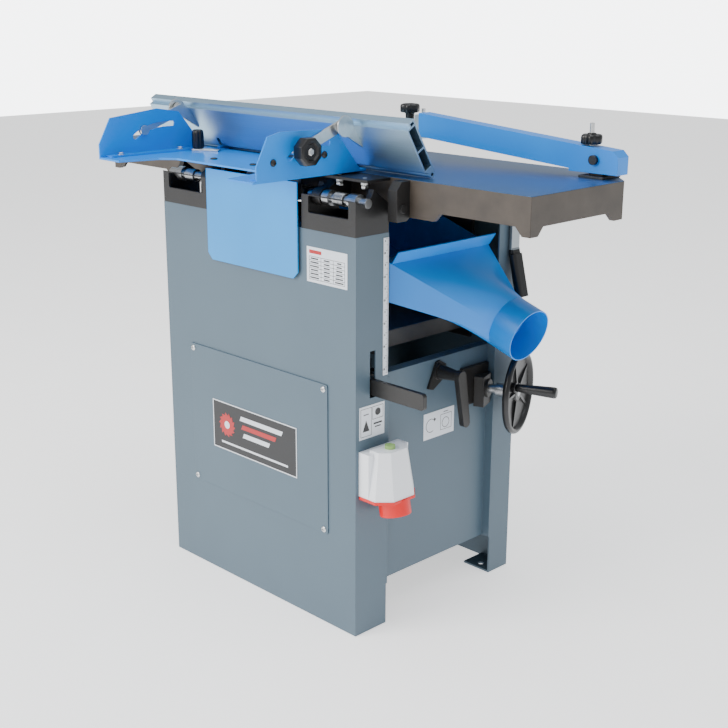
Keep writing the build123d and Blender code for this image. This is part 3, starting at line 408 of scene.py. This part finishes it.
b = Build()
sb = on_end(-0.260, 0.141, 0.588)
b.prism(rect(0.012, 0.236), 0, 0.0009, sb, 0)
for i in range(116):
    long = 0.0068 if i % 10 == 0 else 0.0048 if i % 5 == 0 else 0.003
    b.prism(rect(long, 0.0005, 0.0055 - long / 2, 0.116 - 0.002 * i), 0.0009, 0.0011, sb, 1)
for i in range(12):
    b.prism(rect(0.0014, 0.0032, -0.0022, 0.1125 - 0.02 * i), 0.0009, 0.0011, sb, 1)
    if i % 2:
        b.prism(arc(-0.0042, 0.1125 - 0.02 * i, 0.0016, 0, 359, 0.0006, 10), 0.0009, 0.0011,
                sb, 1)
strip = b.make("scale_strip", [FILM, INK], "base")
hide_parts("thickness_scale")

b = Build()
for x in (-0.182, 0.182):
    for z in (0.182, 0.442):
        place = at(x, 0.212, z, -90)
        b.turned([(0.0029, -0.002), (0.0055, 0), (0.0055, 0.0008), (0.0046, 0.002),
                  (0.0028, 0.0026)], place, 0, 28)
        for rz in (0, 90):
            b.prism(rect(0.0062, 0.0011), 0.00255, 0.00262, place @ at(0, 0, 0, 0, 0, rz), 1)
heads = b.make("cover_screw_heads", [ZINC, INK], "base", smooth=True)
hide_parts("cover_screws")

# ---------------------------------------------------------------- handwheel
TURN = math.radians(20.5)
WHEEL = Matrix(((-math.sin(TURN), 0, -math.cos(TURN), -0.327),
                (math.cos(TURN), 0, -math.sin(TURN), -0.1519),
                (0, -1, 0, 0.388), (0, 0, 0, 1)))
GRIP = WHEEL @ at(0.037, -0.020, 0)

b = Build()
b.turned([(0.008, -0.031), (0.014, -0.031), (0.015, -0.030), (0.0168, -0.020), (0.019, -0.0185),
          (0.060, -0.0168), (0.071, -0.0149), (0.0752, -0.0134), (0.0772, -0.0110),
          (0.0779, -0.0075), (0.0772, -0.0042), (0.0750, -0.0021), (0.0718, -0.0015),
          (0.0690, -0.0026), (0.0668, -0.0055), (0.0650, -0.0092), (0.042, -0.0116),
          (0.021, -0.0128), (0.0180, -0.0120), (0.0168, -0.0080), (0.0158, -0.0070),
          (0.009, -0.0070)], WHEEL, 0, 96)
for i in range(5):
    b.prism(rect(0.049, 0.005, 0.0415, 0), -0.0140, -0.0078, WHEEL @ at(0, 0, 0, 0, 0, 72 * i), 0,
            0.001)
b.turned([(0.0089, -0.012), (0.0089, -0.001), (0.0080, 0.0)], GRIP, 0, 36)
b.turned([(0.0039, -0.012), (0.0039, 0.0575)], GRIP, 0, 24)
wheel = b.make("handwheel_casting", [BLACK], "handwheel", smooth=True)
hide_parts("handwheel")

b = Build()
b.turned([(0.0041, 0.0006), (0.0066, 0.0006), (0.0072, 0.0016), (0.0074, 0.005), (0.0082, 0.020),
          (0.0092, 0.040), (0.0100, 0.058), (0.0104, 0.0690), (0.0104, 0.0715), (0.0098, 0.0742),
          (0.0084, 0.0755), (0.0060, 0.0759)], GRIP, 0, 48)
grip = b.make("handwheel_grip_turned", [BLACK], "wheel_grip", smooth=True)
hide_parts("handwheel_grip")


# ---------------------------------------------------------------- clamping knobs
def lobes(count, depth, n=96):
    """Unit outline with rounded lobes."""
    out = []
    for i in range(n):
        a = 2 * math.pi * i / n
        r = 1 - depth * (0.5 - 0.5 * math.cos(count * a)) ** 1.3
        out.append((r * math.cos(a), r * math.sin(a)))
    return out


def knob(piece, node, body, x, y, z0, z1, radius, count, depth, parts):
    """Lobed head from z0 to z1 with a dished top, plus turned (radius, z) parts."""
    b = Build()
    h = z1 - z0
    b.loft(lobes(count, depth), [(radius * s, z0 + h * t) for s, t in (
        (0.80, 0.0), (0.93, 0.04), (0.985, 0.16), (0.985, 0.70), (0.95, 0.86), (0.86, 0.96),
        (0.70, 1.0), (0.50, 0.985), (0.42, 0.93))], at(x, y, 0), 0)
    for profile, mat in parts:
        b.turned(profile, at(x, y, 0), mat, 32)
    obj = b.make(piece, [BLACK, ZINC], body, smooth=True)
    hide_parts(node)


knob("height_knob_head", "guard_height_knob", "height_knob", -0.472, -0.120, 0.856, 0.872, 0.0188,
     6, 0.16, [([(0.0039, 0.842), (0.0039, 0.8895), (0.0030, 0.890)], 1),
               ([(0.0075, 0.871), (0.0072, 0.8735), (0.0040, 0.8745)], 0)])
knob("clamp_knob_head", "guard_clamp_knob", "slat_knob", -0.064, -0.120, 0.880, 0.896, 0.0188,
     6, 0.14, [([(0.0039, 0.8428), (0.0039, 0.862)], 1),
               ([(0.0072, 0.8617), (0.0088, 0.8630), (0.0080, 0.8700), (0.0084, 0.8775),
                 (0.0120, 0.8806)], 0)])
knob("carrier_knob_head", "carrier_clamp_knob", "carrier_knob", 0.204, 0.168, 0.8136, 0.848,
     0.0113, 8, 0.12, [([(0.0039, 0.8046), (0.0039, 0.8140)], 1)])

b = Build()
OCT = [(math.cos(math.pi * (i + 0.5) / 4), math.sin(math.pi * (i + 0.5) / 4)) for i in range(8)]
tilt = at(-0.1888, 0.262, 0.851, 0, -90, 0)
b.loft(OCT, [(0.0205, 0.0045), (0.0226, 0.0056), (0.0236, 0.0085), (0.0236, 0.0220),
             (0.0226, 0.0248), (0.0200, 0.0260), (0.0150, 0.0258), (0.0128, 0.0225)], tilt, 0)
b.turned([(0.0098, 0.0002), (0.0098, 0.0050)], tilt, 0, 32)
b.turned([(0.0062, 0.0220), (0.0062, 0.0238), (0.0050, 0.0246)], tilt, 1, 6)
octagon = b.make("tilt_knob_head", [BLACK, ZINC], "tilt_knob", smooth=True)
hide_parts("tilt_clamp_knob")


# ---------------------------------------------------------------- springs, screws and bolts
def tube(b, path, radius, mat=0, n=10):
    """Round wire along a list of points."""
    v, f = [], []
    for i, p in enumerate(path):
        along = (path[min(i + 1, len(path) - 1)] - path[max(i - 1, 0)]).normalized()
        side = along.cross(Vector((1, 0, 0)) if abs(along.x) < 0.9 else Vector((0, 1, 0)))
        side.normalize()
        up = along.cross(side)
        for j in range(n):
            a = 2 * math.pi * j / n
            v.append(p + side * radius * math.cos(a) + up * radius * math.sin(a))
    for i in range(len(path) - 1):
        for j in range(n):
            k = (j + 1) % n
            f.append((i * n + j, i * n + k, (i + 1) * n + k, (i + 1) * n + j))
    f.append(tuple(range(n - 1, -1, -1)))
    f.append(tuple((len(path) - 1) * n + j for j in range(n)))
    b.take(v, f, mat)


b = Build()
for start in (-0.213, 0.187):
    coil = [Vector((start + 0.0238 * i / 252, 0.186 - 0.0102 * math.cos(2 * math.pi * i / 36),
                    0.767 + 0.0102 * math.sin(2 * math.pi * i / 36))) for i in range(253)]
    tube(b, [Vector((start, 0.1758, 0.728)), Vector((start, 0.1758, 0.757))] + coil, 0.0015)
springs = b.make("spring_coils", [STEEL], "base", smooth=True)
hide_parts("torsion_springs")

HEX = [(math.cos(math.pi * i / 3), math.sin(math.pi * i / 3)) for i in range(6)]


def thread(radius, low, high, pitch=0.00125):
    """Ridged profile of a threaded rod."""
    out, z = [], low
    while z < high:
        out += [(radius * 0.86, z), (radius, z + pitch / 2)]
        z += pitch
    return out + [(radius * 0.8, high)]


def stop_screws(piece, node, body, x_mid):
    b = Build()
    for x in (x_mid - 0.029, x_mid + 0.030):
        here = at(x, 0.165, 0)
        b.turned(thread(0.0038, 0.7857, 0.8035), here, 0, 24)
        b.loft(HEX, [(0.0058, 0.7912), (0.0064, 0.7920), (0.0064, 0.7970), (0.0057, 0.7979)],
               here, 0)
        b.loft(HEX, [(0.0057, 0.7856), (0.0063, 0.7864), (0.0063, 0.7902), (0.0057, 0.7909)],
               here @ at(0, 0, 0, 0, 0, 20), 0)
    obj = b.make(piece, [ZINC], body, smooth=True)
    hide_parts(node)


stop_screws("outfeed_stop_nuts", "outfeed_stop_screws", "outfeed_table", -0.205)
stop_screws("infeed_stop_nuts", "infeed_stop_screws", "infeed_table", 0.200)

b = Build()
for x in (-0.171, 0.231):
    for y in (0.190, 0.320):
        here = at(x, y, 0.8125)
        b.turned([(0.0064, 0), (0.0064, 0.0010), (0.0052, 0.0011)], here, 0, 32)
        b.loft(HEX, [(0.0052, 0.0010), (0.0055, 0.0014), (0.0055, 0.0034), (0.0048, 0.0040)],
               here, 0)
for x, side in ((-0.183, -90), (0.243, 90)):
    for y, z in ((0.316, 0.836), (0.207, 0.840)):
        here = at(x, y, z, 0, side, 0)
        b.turned([(0.0059, 0), (0.0059, 0.0009), (0.0050, 0.0010)], here, 1, 32)
        b.turned([(0.0050, 0.0009), (0.0049, 0.0022), (0.0040, 0.0034), (0.0022, 0.0040),
                  (0.0022, 0.0026)], here, 1, 32)
for x in (-0.024, 0.084):
    b.turned([(0.0064, 0.8095), (0.0063, 0.8110), (0.0050, 0.8121), (0.0028, 0.8125)],
             at(x, 0.225, 0), 1, 32)
b.prism(rect(0.0516, 0.0166), 0.8096, 0.8129, at(0.190, 0.160, 0, 0, 0, 30), 0, 0.0006)
bolts = b.make("carrier_bolt_heads", [ZINC, CAST], "carrier", smooth=True)
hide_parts("carrier_bolts")

# ---------------------------------------------------------------- lights and floor
def lamp(name, loc, size, power, color=(1, 1, 1)):
    data = bpy.data.lights.new(name, "AREA")
    data.shape, data.size, data.energy, data.color = "SQUARE", size, power, color
    obj = bpy.data.objects.new(name, data)
    bpy.context.scene.collection.objects.link(obj)
    obj.location = loc
    obj.rotation_euler = (Vector((0, 0, 0.5)) - Vector(loc)).to_track_quat("-Z", "Y").to_euler()
    return obj


lamp("key", (1.2, 3.6, 2.6), 2.4, 165, (1.0, 0.98, 0.95))
lamp("over", (-0.6, 0.2, 3.6), 3.0, 70, (0.92, 0.96, 1.0))
lamp("side", (-3.4, -1.4, 1.6), 2.4, 5, (0.85, 0.93, 1.0))
world = bpy.data.worlds.new("studio")
world.use_nodes = True
world.node_tree.nodes["Background"].inputs[0].default_value = (0.96, 0.98, 1.0, 1)
tree = world.node_tree
seen = tree.nodes.new("ShaderNodeLightPath").outputs["Is Camera Ray"]
strength = tree.nodes.new("ShaderNodeMapRange")
strength.inputs["To Min"].default_value, strength.inputs["To Max"].default_value = 0.62, 6.0
tree.links.new(seen, strength.inputs["Value"])
tree.links.new(strength.outputs[0], tree.nodes["Background"].inputs[1])
bpy.context.scene.world = world
white = paint("floor", rgb(250, 250, 250), rgb(252, 252, 252), 0.7)
white.node_tree.nodes["Principled BSDF"].inputs["Emission Color"].default_value = (1, 1, 1, 1)
white.node_tree.nodes["Principled BSDF"].inputs["Emission Strength"].default_value = 0.9
floor = mesh("floor", [(-9, -9, -0.0005), (9, -9, -0.0005), (9, 9, -0.0005), (-9, 9, -0.0005)],
             [(0, 1, 2, 3)], [white], None)
